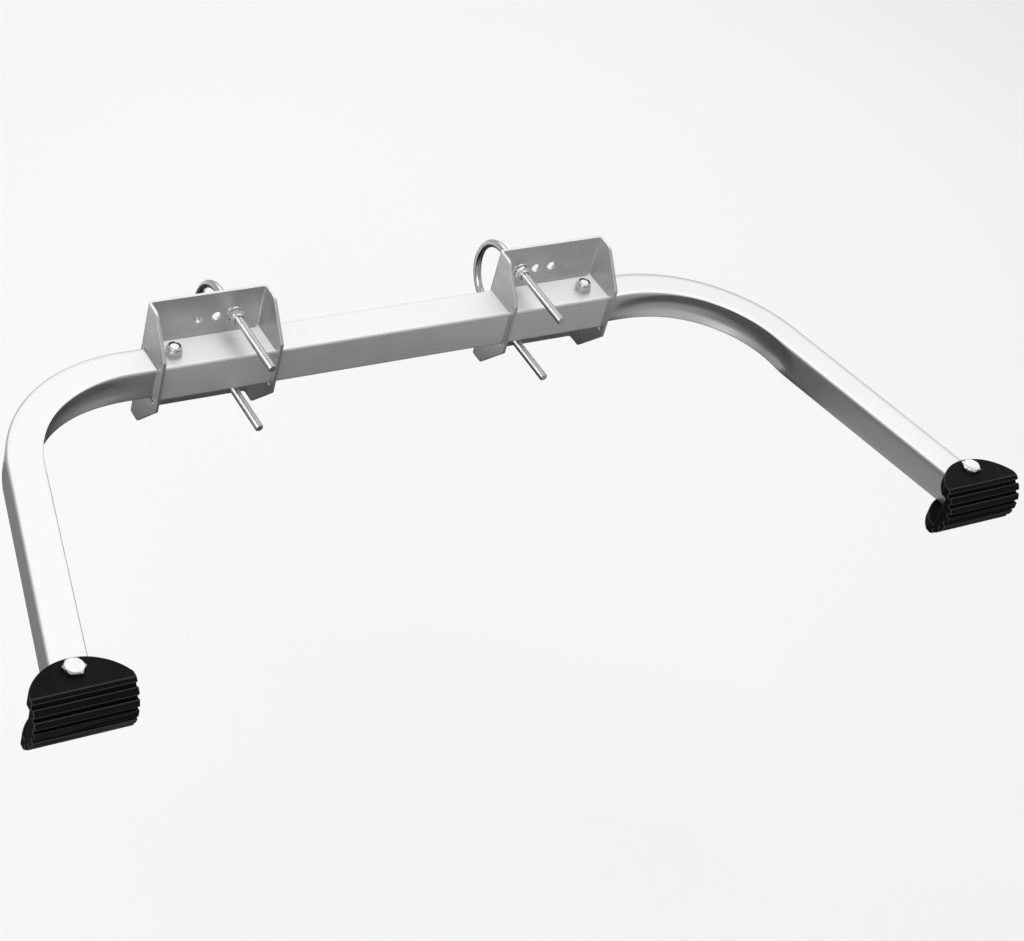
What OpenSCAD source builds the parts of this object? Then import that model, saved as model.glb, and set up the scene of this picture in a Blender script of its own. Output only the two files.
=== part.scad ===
// Ladder standoff: a square centre tube carried by two folded brackets,
// two bent arms that slide into its ends, U-bolts that clamp a ladder rung,
// and swivelling rubber feet that lean on the wall.
// The origin is the middle of the rung seat, on the back faces of the brackets.
// X runs along the tube, Y from the wall to the ladder, Z up the ladder.

/* [Centre tube] */
// Outer width of the square centre tube
tube_w = 38; // [34:0.5:44]
// Wall of the centre tube
tube_wall = 2.5; // [1.5:0.1:3.5]
// Length of the centre tube
tube_len = 482; // [440:1:560]
// Outer corner radius of the centre tube
tube_corner_r = 2.2; // [1:0.1:2.8]

/* [Arms] */
// Clearance between an arm and the inside of the centre tube, each side
arm_gap = 0.3; // [0.2:0.05:0.6]
// Wall of the arm tube
arm_wall = 2; // [1.5:0.1:3]
// Outer corner radius of the arm tube
arm_corner_r = 2; // [1:0.1:2.4]
// Length of arm held inside the centre tube
arm_insert = 95; // [50:1:110]
// Straight arm between the mouth of the centre tube and the bend
arm_lead = 24; // [22:1:60]
// Radius of the bend on the middle line of the arm
bend_r = 138; // [110:1:170]
// Angle that the arm is bent through
bend_angle = 77; // [66:0.5:90]
// From the end of the bend to the pivot of the foot
leg_len = 242.5; // [160:0.5:340]
// Arm that runs on past the pivot of the foot
arm_tail = 14; // [11:0.5:16]
// Depth of the groove that bending presses into the inner wall
groove_depth = 8.5; // [6:0.5:10]
// Radius of the cross-section of that groove
groove_r = 26; // [22:0.5:30]
// How far the middle of the groove lies below the middle of the arm
groove_drop = 3; // [0:0.5:4]
// Angle from the leg end of the bend to where the groove is deepest
groove_turn = 26.5; // [20:0.5:36]
// Length of leg that the groove runs along past the end of the bend
groove_run = 30; // [16:1:32]

/* [Brackets] */
// Thickness of the folded sheet
sheet_t = 3; // [2:0.25:4]
// Outer width of a bracket over its two flanges
bracket_w = 118.5; // [100:0.5:130]
// How far an outer flange stands out past the end of the centre tube
tube_recess = 1.5; // [0.5:0.25:3]
// Height of the back plate above the middle of the tube
plate_up = 64.8; // [58:0.2:80]
// Depth of the back plate below the middle of the tube
plate_down = 60; // [56:0.5:80]
// Inner radius of the folds
fold_r = 2; // [1:0.5:3]
// Clearance of the tube in the flange holes and off the back plate
tube_gap = 0.4; // [0.2:0.1:0.8]
// Width of the strip that runs in front of the tube
strip_w = 6.7; // [5:0.1:10]
// Height at which the strip meets the upper slant
strip_up = 31.5; // [26:0.5:40]
// Depth at which the strip meets the lower slant
strip_down = 25; // [23:0.5:35]
// Depth of the flange's level top edge, from the back of the plate
top_edge = 19; // [14:0.5:26]
// Depth of the flange's level bottom edge, from the back of the plate
bottom_edge = 18; // [12:0.5:24]
// Radius of the flange's upper front corner
top_corner_r = 12; // [6:0.5:14]
// Radius of the small relief holes at the corners of the flange holes
relief_r = 1.6; // [1:0.1:2.5]

/* [U-bolts] */
// Diameter of the U-bolt rod
rod_d = 8; // [7:0.1:8.4]
// Distance between the two legs of a U-bolt
leg_gap = 70; // [68:0.5:84]
// Length of a leg from its tip to the start of the arch
leg_run = 114; // [100:1:130]
// How far the start of the arch stands behind the brackets as shown
clamp_open = 30.1; // [22:0.1:40]
// Holes for the legs in each row of a back plate
hole_count = 3; // [2:1:3]
// Distance between neighbouring holes in a row
hole_step = 18; // [17:0.5:20]
// Diameter of the holes for the legs
leg_hole_d = 9; // [8.6:0.1:10]
// From the inner flange of a bracket to the nearest hole
hole_inset = 29.5; // [26:0.5:34]
// Width across the flats of the leg nuts
leg_nut_af = 13; // [12:0.5:14]
// Height of the hexagon of a leg nut
leg_nut_hex = 5.2; // [4:0.2:7]
// Height of the round locking collar of a leg nut
leg_nut_collar = 2.8; // [2:0.2:4]
// Outer diameter of the leg washers
leg_washer_d = 16; // [15:0.5:17]
// Thickness of the leg washers
leg_washer_t = 1.6; // [1:0.1:2.5]

/* [Arm and foot bolts] */
// Diameter of the arm bolts and the foot bolts
bolt_d = 10; // [8:0.5:11]
// Width across the flats of their heads and nuts
bolt_af = 17; // [15:0.5:18]
// Height of the head of an arm bolt
head_h = 6.4; // [5:0.2:8]
// Height of the head of a foot bolt
foot_head_h = 4; // [3:0.2:7]
// Height of the hexagon of a foot nut
nut_hex = 6; // [5:0.2:8]
// Height of the round locking collar of a foot nut
nut_collar = 3.6; // [2.5:0.1:5]
// Width across the flats of the arm nuts
arm_nut_af = 15; // [14.5:0.5:17]
// Height of the hexagon of an arm nut
arm_nut_hex = 5; // [4:0.2:8]
// Height of the round locking collar of an arm nut
arm_nut_collar = 3.6; // [2.5:0.1:5]
// How far the end of an arm bolt lies below the rim of its nut
arm_bolt_sunk = 0.8; // [0:0.2:1.6]
// Thread of a foot bolt that shows past its nut
bolt_show = 1; // [0.5:0.5:3]
// Distance of the arm bolts from the mouth of the centre tube
arm_bolt_inset = 21; // [18:0.5:26]
// Clearance hole for the arm bolts
arm_hole_d = 10.6; // [8.5:0.1:11.5]
// Clearance between a bolt and the nuts, washers and foot it passes, each side
bolt_gap = 0.15; // [0.1:0.05:0.3]
// Running clearance of a foot bolt in its arm and of a leg in its nuts
pivot_gap = 0.05; // [0.02:0.01:0.1]
// Outer diameter of the washers under the foot nuts
foot_washer_d = 20; // [18:0.5:22]
// Thickness of the washers under the foot nuts
foot_washer_t = 2; // [1:0.25:3]

/* [Feet] */
// Width of a foot along the wall
foot_w = 86; // [72:1:92]
// Thickness of the cheeks above and below the arm
cheek_t = 11; // [9:0.5:12]
// Clearance between the arm and the cheeks
cheek_gap = 0.4; // [0.3:0.1:1]
// Rounded back of the cheeks, measured from the pivot
foot_back = 11.9; // [10:0.1:15]
// Radius of the rounded back of the cheeks
foot_back_r = 47.5; // [46.5:0.5:70]
// Crest of the middle rib, measured from the pivot
foot_front = 35.5; // [34.5:0.5:44]
// Radius of the crowned front, seen from the side
crown_r = 33.5; // [31:0.5:60]
// Angle that the foot swivels to each side of the arm's axis
swivel = 35; // [20:1:36]
// Space left at the end stop of the swivel
swivel_gap = 0.4; // [0.3:0.1:1]
// Ribs across the front of a foot
rib_count = 5; // [3:1:5]
// Angle from one rib to the next, about the middle of the crown
rib_turn = 17.8; // [15:0.1:19]
// Width of the grooves between the ribs at their mouth
rib_gap_w = 3.8; // [2:0.1:4.2]
// Width of the grooves between the ribs at their bottom
rib_floor_w = 2.4; // [1.4:0.1:3]
// Depth of the grooves between the ribs
rib_gap_d = 3.8; // [2:0.1:4.2]

/* [Hidden] */
$fa = 5;
$fs = 0.6;

// The brackets' back faces are at y = 0, so the tube lies in front of them.
tube_y = -(sheet_t + tube_gap + tube_w / 2);
arm_w = tube_w - 2 * (tube_wall + arm_gap);
bend_x = tube_len / 2 + arm_lead;
// The arm leaves its bend this far from square to the centre tube.
flare = 90 - bend_angle;
bend_centre = [bend_x, tube_y - bend_r];
pivot = bend_centre + bend_r * [cos(flare), sin(flare)] + leg_len * [sin(flare), -cos(flare)];

bracket_out = tube_len / 2 + tube_recess;
bracket_in = bracket_out - bracket_w;
hole_x = bracket_in + hole_inset;
// The rows of holes stand level about the middle of the plate's height.
hole_mid = (plate_up - plate_down) / 2;
arm_bolt_x = tube_len / 2 - arm_bolt_inset;
leg_hex_turn = 30;
arm_hex_turn = -4;
foot_hex_turn = 9;

foot_h = arm_w + 2 * (cheek_gap + cheek_t);
// The square end of the arm swings this far forward at the end stop.
web_face = arm_tail * cos(swivel) + arm_w / 2 * sin(swivel) + swivel_gap;
crown_centre = foot_front - crown_r;
rib_w = crown_r * rib_turn * PI / 180 - rib_gap_w;
over = 1;
// The straight leg reaches this far into the bend, a hair under its size, so that the two join.
lap = 1;
lap_step = 0.01;

function unit(v) = v / norm(v);

// Points of a round corner at b, between the edges to a and to c.
function corner(a, b, c, r, steps) =
    let (u = unit(a - b))
    let (v = unit(c - b))
    let (half = acos(u * v) / 2)
    let (middle = b + unit(u + v) * r / sin(half))
    let (from = b + u * r / tan(half) - middle)
    let (to = b + v * r / tan(half) - middle)
    let (first = atan2(from.y, from.x))
    let (turn = (atan2(to.y, to.x) - first + 540) % 360 - 180)
    r == 0 ? [b] : [for (i = [0:steps]) middle + r * [cos(first + turn * i / steps), sin(first + turn * i / steps)]];

// Outline through corners given as [x, y, radius].
function rounded(path, steps = 4) =
    let (n = len(path))
    [for (i = [0:n - 1])
        let (a = path[(i + n - 1) % n])
        let (b = path[i])
        let (c = path[(i + 1) % n])
        each corner([a.x, a.y], [b.x, b.y], [c.x, c.y], b.z, steps)];

function square_outline(w, r) =
    rounded([[-w / 2, -w / 2, r], [w / 2, -w / 2, r], [w / 2, w / 2, r], [-w / 2, w / 2, r]]);

// Puts what is drawn for the right-hand side on the left.
module on_left() {
    mirror([1, 0, 0]) children();
}

// A straight length along +X of a section drawn in Y and Z.
module along_x(length) {
    rotate([90, 0, 90]) linear_extrude(height = length) children();
}

module square_ring(w, wall, r) {
    difference() {
        polygon(square_outline(w, r));
        polygon(square_outline(w - 2 * wall, max(r - wall, 0.3)));
    }
}

module centre_tube() {
    color("#c9cbcd")
        difference() {
            translate([-tube_len / 2, tube_y, 0])
                along_x(tube_len)
                    square_ring(tube_w, tube_wall, tube_corner_r);
            for (side = [-1, 1])
                translate([side * arm_bolt_x, tube_y, 0])
                    cylinder(h = tube_w + 2 * over, d = arm_hole_d, center = true);
        }
}

// The arm's section swept along its lead, its bend and its leg. The ends grow by extra.
module arm_sweep(w, r, extra) {
    lead = arm_insert + arm_lead + extra;
    translate([bend_x - lead, tube_y, 0])
        along_x(lead)
            polygon(square_outline(w, r));
    translate(bend_centre) {
        rotate_extrude(start = flare, angle = bend_angle, $fa = 3)
            translate([bend_r, 0])
                polygon(square_outline(w, r));
        rotate([0, 0, flare])
            translate([bend_r, lap, 0])
                rotate([90, 0, 0])
                    linear_extrude(height = leg_len + arm_tail + extra + lap)
                        polygon(square_outline(w - 2 * lap_step, r));
    }
}

// The ring that presses the inner wall of the bend inwards. Its centre is moved from the bend's, so
// that it leaves the straight wall of the leg at groove_run.
module bend_groove(r) {
    wall_r = bend_r - arm_w / 2;
    deep_r = wall_r + groove_depth;
    deep_turn = flare + groove_turn;
    shift = (pow(deep_r, 2) - pow(wall_r, 2) - pow(groove_run, 2))
        / (2 * (deep_r - wall_r * cos(groove_turn) + groove_run * sin(groove_turn)));
    ring_r = deep_r - shift - groove_r;
    translate(bend_centre + shift * [cos(deep_turn), sin(deep_turn)])
        rotate_extrude($fa = 3)
            translate([ring_r, -groove_drop])
                circle(r = r);
}

module arm() {
    difference() {
        arm_sweep(arm_w, arm_corner_r, 0);
        difference() {
            arm_sweep(arm_w - 2 * arm_wall, max(arm_corner_r - arm_wall, 0.3), over);
            bend_groove(groove_r + arm_wall);
        }
        bend_groove(groove_r);
        translate([arm_bolt_x, tube_y, 0])
            cylinder(h = arm_w + 2 * over, d = arm_hole_d, center = true);
        translate(pivot)
            cylinder(h = arm_w + 2 * over, d = bolt_d + 2 * pivot_gap, center = true);
    }
}

module right_arm() {
    color("#d3d5d7") arm();
}

module left_arm() {
    color("#d3d5d7") on_left() arm();
}

// The folded U of a bracket seen from above.
module fold_section() {
    out = fold_r + sheet_t;
    depth = sheet_t + 2 * tube_gap + tube_w + strip_w;
    polygon(rounded([
        [0, -depth, 0], [sheet_t, -depth, 0],
        [sheet_t, -sheet_t, fold_r], [bracket_w - sheet_t, -sheet_t, fold_r],
        [bracket_w - sheet_t, -depth, 0], [bracket_w, -depth, 0],
        [bracket_w, 0, out], [0, 0, out]
    ], 6));
}

// The outline of a flange seen from the side, with the back plate at y = 0.
module flange_outline() {
    front = tube_y - tube_w / 2 - tube_gap - strip_w;
    polygon(rounded([
        [0, -plate_down, 0], [-bottom_edge, -plate_down, 3],
        [front, -strip_down, 2], [front, strip_up, 2],
        [-top_edge, plate_up, top_corner_r], [0, plate_up, 0]
    ], 6));
}

// The square hole for the tube, with relief holes at its corners.
module flange_hole() {
    w = tube_w + 2 * tube_gap;
    square(w, center = true);
    for (y = [-w / 2, w / 2])
        for (z = [-w / 2, w / 2])
            translate([y, z])
                circle(r = relief_r);
}

module bracket() {
    difference() {
        intersection() {
            translate([bracket_in, 0, -plate_down])
                linear_extrude(height = plate_up + plate_down)
                    fold_section();
            translate([bracket_in - over, 0, 0])
                along_x(bracket_w + 2 * over)
                    flange_outline();
        }
        for (x = [bracket_in - over, bracket_out - sheet_t - fold_r])
            translate([x, tube_y, 0])
                along_x(sheet_t + fold_r + over)
                    flange_hole();
        for (i = [0:hole_count - 1])
            for (level = [-1, 1])
                translate([hole_x + i * hole_step, over, hole_mid + level * leg_gap / 2])
                    rotate([90, 0, 0])
                        cylinder(h = sheet_t + 2 * over, d = leg_hole_d);
    }
}

module right_bracket() {
    color("#a9abad") bracket();
}

module left_bracket() {
    color("#a9abad") on_left() bracket();
}

// The rod runs from one tip, round the arch behind the rung, to the other tip.
module u_bolt() {
    tip = 1;
    translate([hole_x, clamp_open, hole_mid]) {
        rotate([0, 90, 0])
            rotate_extrude(start = 0, angle = 180)
                translate([leg_gap / 2, 0])
                    circle(d = rod_d);
        for (level = [-1, 1])
            translate([0, 0, level * leg_gap / 2])
                rotate([90, 0, 0]) {
                    cylinder(h = leg_run - tip, d = rod_d);
                    translate([0, 0, leg_run - tip])
                        cylinder(h = tip, d1 = rod_d, d2 = rod_d - 2 * tip);
                }
    }
}

module right_u_bolt() {
    color("#dfe3e6") u_bolt();
}

module left_u_bolt() {
    color("#dfe3e6") on_left() u_bolt();
}

module washer(outer, t, bore) {
    difference() {
        cylinder(h = t, d = outer);
        translate([0, 0, -over])
            cylinder(h = t + 2 * over, d = bore);
    }
}

// A hexagon with bevelled corners on the ends that are named.
module hexagon(af, h, bevel_low, bevel_high) {
    corner_d = af / cos(30);
    drop = (corner_d - af) / 2 * tan(30);
    intersection() {
        cylinder(h = h, d = corner_d, $fn = 6);
        union() {
            if (bevel_low)
                cylinder(h = drop, d1 = af, d2 = corner_d);
            translate([0, 0, bevel_low ? drop : 0])
                cylinder(h = h - (bevel_low ? drop : 0) - (bevel_high ? drop : 0), d = corner_d + over);
            if (bevel_high)
                translate([0, 0, h - drop])
                    cylinder(h = drop, d1 = corner_d, d2 = af);
        }
    }
}

// A self-locking nut that stands on z = 0: hexagon below, round collar above.
module lock_nut(af, hex_h, collar_h, bore) {
    rim = 0.8;
    difference() {
        union() {
            hexagon(af, hex_h, true, true);
            cylinder(h = hex_h + collar_h - rim, d = af - 2 * rim);
            translate([0, 0, hex_h + collar_h - rim])
                cylinder(h = rim, d1 = af - 2 * rim, d2 = af - 4 * rim);
        }
        translate([0, 0, -over])
            cylinder(h = hex_h + collar_h + 2 * over, d = bore);
    }
}

// Moves a washer or a nut onto a leg, in front of the back plate.
module on_leg(level, lift) {
    translate([hole_x, -sheet_t - lift, hole_mid + level * leg_gap / 2])
        rotate([90, 0, 0])
            children();
}

module leg_washer(level) {
    color("#d2d6d9")
        on_leg(level, 0)
            washer(leg_washer_d, leg_washer_t, rod_d + 4 * bolt_gap);
}

module leg_nut(level) {
    color("#d9dde0")
        on_leg(level, leg_washer_t)
            rotate([0, 0, leg_hex_turn])
                lock_nut(leg_nut_af, leg_nut_hex, leg_nut_collar, rod_d + 2 * pivot_gap);
}

module right_upper_washer() {
    leg_washer(1);
}

module right_lower_washer() {
    leg_washer(-1);
}

module left_upper_washer() {
    on_left() leg_washer(1);
}

module left_lower_washer() {
    on_left() leg_washer(-1);
}

module right_upper_nut() {
    leg_nut(1);
}

module right_lower_nut() {
    leg_nut(-1);
}

module left_upper_nut() {
    on_left() leg_nut(1);
}

module left_lower_nut() {
    on_left() leg_nut(-1);
}

// A bolt with the underside of its head on z = 0 and its shank along -Z.
module hex_bolt(head, grip, turn) {
    point = 1;
    rotate([0, 0, turn])
        hexagon(bolt_af, head, false, true);
    translate([0, 0, -grip + point])
        cylinder(h = grip - point, d = bolt_d);
    translate([0, 0, -grip])
        cylinder(h = point, d1 = bolt_d - 2 * point, d2 = bolt_d);
}

// The arm bolts come up from below, with the nut on top of the tube.
module arm_bolt() {
    color("#ccd0d3")
        translate([arm_bolt_x, tube_y, -tube_w / 2])
            mirror([0, 0, 1])
                hex_bolt(head_h, tube_w + arm_nut_hex + arm_nut_collar - arm_bolt_sunk, 0);
}

module arm_nut() {
    color("#dde0e3")
        translate([arm_bolt_x, tube_y, tube_w / 2])
            rotate([0, 0, arm_hex_turn])
                lock_nut(arm_nut_af, arm_nut_hex, arm_nut_collar, bolt_d + 2 * bolt_gap);
}

module right_arm_bolt() {
    arm_bolt();
}

module left_arm_bolt() {
    on_left() arm_bolt();
}

module right_arm_nut() {
    arm_nut();
}

module left_arm_nut() {
    on_left() arm_nut();
}

// A foot seen from above, with the pivot at the origin and the wall at -Y.
module foot_plan() {
    intersection() {
        translate([0, foot_back - foot_back_r])
            circle(r = foot_back_r);
        translate([-foot_w / 2, -foot_front - over])
            square([foot_w, foot_front + foot_back + 2 * over]);
    }
    side_start = foot_back - foot_back_r + sqrt(pow(foot_back_r, 2) - pow(foot_w / 2, 2));
    translate([-foot_w / 2, -foot_front - over])
        square([foot_w, side_start + foot_front + over]);
}

// A foot seen from the side: X here is the distance in front of the pivot.
module foot_side() {
    flat = crown_r - sqrt(pow(crown_r, 2) - pow(rib_w / 2, 2));
    difference() {
        intersection() {
            union() {
                translate([-foot_back - over, -foot_h / 2])
                    square([foot_back + over + crown_centre, foot_h]);
                translate([crown_centre, 0])
                    circle(r = crown_r, $fa = 3);
            }
            translate([-foot_back - over, -foot_h / 2])
                square([foot_back + over + foot_front - flat, foot_h]);
        }
        for (i = [0:rib_count])
            rib_groove((i - rib_count / 2) * rib_turn);
    }
}

// A groove cut square to the crown at an angle above the level, narrower at its bottom.
module rib_groove(turn) {
    out = [cos(turn), sin(turn)];
    side = [-sin(turn), cos(turn)];
    low = [crown_centre, 0] + (crown_r - rib_gap_d) * out;
    high = low + (rib_gap_d + over) * out;
    mouth = rib_floor_w + (rib_gap_w - rib_floor_w) * (rib_gap_d + over) / rib_gap_d;
    polygon([
        low - rib_floor_w / 2 * side, high - mouth / 2 * side,
        high + mouth / 2 * side, low + rib_floor_w / 2 * side
    ]);
}

module foot() {
    slot_h = arm_w + 2 * cheek_gap;
    translate(pivot)
        difference() {
            intersection() {
                translate([0, 0, -foot_h / 2])
                    linear_extrude(height = foot_h)
                        foot_plan();
                translate([-foot_w / 2 - over, 0, 0])
                    along_x(foot_w + 2 * over)
                        mirror([1, 0])
                            foot_side();
            }
            translate([-foot_w / 2 - over, -web_face, -slot_h / 2])
                cube([foot_w + 2 * over, web_face + foot_back + over, slot_h]);
            cylinder(h = foot_h + 2 * over, d = bolt_d + 2 * bolt_gap, center = true);
        }
}

module right_foot() {
    color("#1c1c1d") foot();
}

module left_foot() {
    color("#1c1c1d") on_left() foot();
}

module foot_bolt() {
    color("#e4e6e8")
        translate([pivot.x, pivot.y, foot_h / 2])
            hex_bolt(foot_head_h, foot_h + foot_washer_t + nut_hex + nut_collar + bolt_show, foot_hex_turn);
}

module foot_washer() {
    color("#d2d6d9")
        translate([pivot.x, pivot.y, -foot_h / 2 - foot_washer_t])
            washer(foot_washer_d, foot_washer_t, bolt_d + 2 * bolt_gap);
}

module foot_nut() {
    color("#dde0e3")
        translate([pivot.x, pivot.y, -foot_h / 2 - foot_washer_t])
            mirror([0, 0, 1])
                lock_nut(bolt_af, nut_hex, nut_collar, bolt_d + 2 * bolt_gap);
}

module right_foot_bolt() {
    foot_bolt();
}

module left_foot_bolt() {
    on_left() foot_bolt();
}

module right_foot_washer() {
    foot_washer();
}

module left_foot_washer() {
    on_left() foot_washer();
}

module right_foot_nut() {
    foot_nut();
}

module left_foot_nut() {
    on_left() foot_nut();
}

centre_tube();
left_arm();
right_arm();
left_bracket();
right_bracket();
left_u_bolt();
right_u_bolt();
left_upper_washer();
left_lower_washer();
right_upper_washer();
right_lower_washer();
left_upper_nut();
left_lower_nut();
right_upper_nut();
right_lower_nut();
left_arm_bolt();
right_arm_bolt();
left_arm_nut();
right_arm_nut();
left_foot();
right_foot();
left_foot_bolt();
right_foot_bolt();
left_foot_washer();
right_foot_washer();
left_foot_nut();
right_foot_nut();
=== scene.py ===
import math

import bmesh
import bpy
from mathutils import Matrix, Vector


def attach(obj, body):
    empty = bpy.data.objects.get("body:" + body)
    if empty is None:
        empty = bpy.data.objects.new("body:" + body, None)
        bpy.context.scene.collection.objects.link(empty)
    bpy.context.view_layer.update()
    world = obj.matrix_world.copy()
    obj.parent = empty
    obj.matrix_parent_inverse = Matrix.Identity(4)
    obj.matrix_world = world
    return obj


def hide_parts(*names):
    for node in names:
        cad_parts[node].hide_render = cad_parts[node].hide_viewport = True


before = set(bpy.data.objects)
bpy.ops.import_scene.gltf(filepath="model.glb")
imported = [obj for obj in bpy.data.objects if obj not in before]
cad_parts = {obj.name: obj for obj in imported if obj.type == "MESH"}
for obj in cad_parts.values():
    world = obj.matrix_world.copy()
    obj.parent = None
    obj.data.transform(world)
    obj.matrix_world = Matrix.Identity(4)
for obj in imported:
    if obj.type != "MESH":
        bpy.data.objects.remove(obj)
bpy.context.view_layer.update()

print("frame loaded:", len(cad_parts), "nodes")

sides = (("left", -1), ("right", 1))
quarterTurn = math.pi / 2
fullTurn = 2 * math.pi
mergeReach = 0.000002  # points that lie closer than this are one point
noiseBand = (0.3, 0.7)  # most of a noise's values lie in this band


def fromHex(code):  # sRGB hex to the linear values that shaders take
    parts = [int(code[i:i + 2], 16) / 255 for i in (1, 3, 5)]
    return tuple(c / 12.92 if c <= 0.04045 else ((c + 0.055) / 1.055) ** 2.4 for c in parts) + (1.0,)


def addNode(tree, kind, inputs=None, **settings):  # a node with its settings, values and links
    node = tree.nodes.new(kind)
    for name, value in settings.items():
        setattr(node, name, value)
    for name, value in (inputs or {}).items():
        if isinstance(value, bpy.types.NodeSocket):
            tree.links.new(value, node.inputs[name])
        else:
            node.inputs[name].default_value = value
    return node


def workOut(tree, known, steps):
    # A step is the name of its result, a node type or a maths operation, its inputs in order or by name,
    # and its settings. Text among the inputs is a size or the result of an earlier step.
    for name, kind, inputs, *settings in steps:
        if not isinstance(inputs, dict):
            inputs = dict(enumerate(inputs))
        ready = {key: known[value] if isinstance(value, str) else value for key, value in inputs.items()}
        if kind.isupper():  # maths operations are written in capitals, node types are not
            node = addNode(tree, "ShaderNodeMath", ready, operation=kind)
        else:
            node = addNode(tree, kind, ready, **dict(*settings))
        for socket in reversed([out for out in node.outputs if out.enabled]):
            known[name + socket.name] = socket  # one of several results, such as the X of a position
            known[name] = socket


def newMaterial(name):
    material = bpy.data.materials.new(name)
    material.use_nodes = True
    return material, material.node_tree, material.node_tree.nodes["Principled BSDF"]


def coat(tree, shader, look, amount, height):
    # The amount runs from the dark colour to the light one, and the height raises the surface.
    tint = addNode(tree, "ShaderNodeMix", {
        "Factor": amount, 6: fromHex(look["dark"]), 7: fromHex(look["light"])}, data_type="RGBA")
    rough = addNode(tree, "ShaderNodeMapRange", {
        "Value": amount, "From Min": noiseBand[0], "From Max": noiseBand[1],
        "To Min": look["darkRough"], "To Max": look["lightRough"]})
    bump = addNode(tree, "ShaderNodeBump", {
        "Height": height, "Strength": look["bump"], "Distance": look["bumpHeight"]})
    tree.links.new(tint.outputs[2], shader.inputs["Base Color"])
    tree.links.new(rough.outputs[0], shader.inputs["Roughness"])
    tree.links.new(bump.outputs[0], shader.inputs["Normal"])
    for name, value in look["even"].items():
        shader.inputs[name].default_value = value
    return tint.outputs[2]


# Square tube, extruded aluminium with a satin etch. The die leaves fine lines along the tube and the
# etch makes them soft, so the face is even with a slight silky streak.
tubeLook = {
    "light": "#dedede",
    "dark": "#d5d5d5",
    "even": {"Metallic": 0.95},  # the etch leaves a thin white oxide over the metal
    "darkRough": 0.48,
    "lightRough": 0.58,
    "lineSpacing": 0.0022,  # real die lines stand 0.3 mm apart, drawn coarser so that they show
    "lineRun": 0.12,
    "cloudSize": 0.045,
    "bump": 0.05,
    "bumpHeight": 0.0002,
}


def streakMaterial(name, look, acrossOf):
    # acrossOf gives the coordinate across the lines, so that the lines follow a bent tube too
    material, tree, shader = newMaterial(name)
    place = addNode(tree, "ShaderNodeTexCoord").outputs["Object"]
    known = {"place": place, "across": acrossOf(tree, place)}
    workOut(tree, known, (
        ("lines", "ShaderNodeTexNoise", {"Vector": "across", "Scale": 1.0, "Detail": 2.0, "Roughness": 0.6}),
        ("clouds", "ShaderNodeTexNoise", {"Vector": "place", "Scale": 1 / look["cloudSize"], "Detail": 3.0}),
        ("both", "ADD", ("lines", "clouds")),
        ("mean", "MULTIPLY", ("both", 0.5)),
    ))
    coat(tree, shader, look, known["mean"], known["lines"])
    return material


def acrossStraight(tree, place):
    across = addNode(tree, "ShaderNodeMapping", {"Vector": place, "Scale": (
        1 / tubeLook["lineRun"], 1 / tubeLook["lineSpacing"], 1 / tubeLook["lineSpacing"])})
    return across.outputs[0]


tubeMaterial = streakMaterial("satinExtrudedAluminium", tubeLook, acrossStraight)

# The arms are the same stock, bent round a former, so the lines run round the bend. Sliding on the
# former has burnished them a little.
armPath = {
    "bendX": 0.265,
    "bendY": -0.1604,
    "bendAngle": 77,
}
armFlare = math.radians(90 - armPath["bendAngle"])  # how far the leg leans outwards
armLook = dict(tubeLook, light="#cecece", dark="#c6c6c6", even={"Metallic": 0.92},
               darkRough=0.27, lightRough=0.34)


def acrossArm(tree, place):
    known = {"place": place}
    workOut(tree, known, (
        ("part", "ShaderNodeSeparateXYZ", ("place",)),
        ("side", "ABSOLUTE", ("partX",)),
        ("x", "SUBTRACT", ("side", armPath["bendX"])),
        ("y", "SUBTRACT", ("partY", armPath["bendY"])),
        ("flat", "ShaderNodeCombineXYZ", ("x", "y")),
        ("acrossBend", "ShaderNodeVectorMath", ("flat",), {"operation": "LENGTH"}),
        ("acrossLeg", "ShaderNodeVectorMath", ("flat", (math.cos(armFlare), math.sin(armFlare), 0)),
         {"operation": "DOT_PRODUCT"}),
        ("alongLeg", "ShaderNodeVectorMath", ("flat", (math.sin(armFlare), -math.cos(armFlare), 0)),
         {"operation": "DOT_PRODUCT"}),
        ("onLead", "LESS_THAN", ("x", 0.0)),
        ("onLeg", "GREATER_THAN", ("alongLeg", 0.0)),
        ("leadOrBend", "ShaderNodeMix", {0: "onLead", 2: "acrossBend", 3: "y"}, {"data_type": "FLOAT"}),
        ("any", "ShaderNodeMix", {0: "onLeg", 2: "leadOrBend", 3: "acrossLeg"}, {"data_type": "FLOAT"}),
        ("across", "ShaderNodeCombineXYZ", {"Y": "any", "Z": "partZ"}),
        ("scaled", "ShaderNodeVectorMath", {0: "across", "Scale": 1 / tubeLook["lineSpacing"]},
         {"operation": "SCALE"}),
    ))
    return known["scaled"]


armMaterial = streakMaterial("satinBentAluminium", armLook, acrossArm)

# Brackets, cold-rolled sheet folded on a press and zinc plated: flatter than the tube, with a faint
# cloudiness from the bath.
bracketLook = {
    "light": "#cdcdcc",
    "dark": "#c0c0bf",
    "even": {"Metallic": 1.0},
    "darkRough": 0.44,
    "lightRough": 0.34,
    "cloudSize": 0.012,
    "grainSize": 0.0012,
    "bump": 0.06,
    "bumpHeight": 0.0001,
}


def platedSheet(name, look):
    material, tree, shader = newMaterial(name)
    known = {"place": addNode(tree, "ShaderNodeTexCoord").outputs["Object"]}
    workOut(tree, known, (
        ("clouds", "ShaderNodeTexNoise", {"Vector": "place", "Scale": 1 / look["cloudSize"], "Detail": 4.0}),
        ("grain", "ShaderNodeTexNoise", {"Vector": "place", "Scale": 1 / look["grainSize"], "Detail": 1.0}),
    ))
    coat(tree, shader, look, known["clouds"], known["grain"])
    return material


bracketMaterial = platedSheet("zincPlatedSheet", bracketLook)

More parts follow.
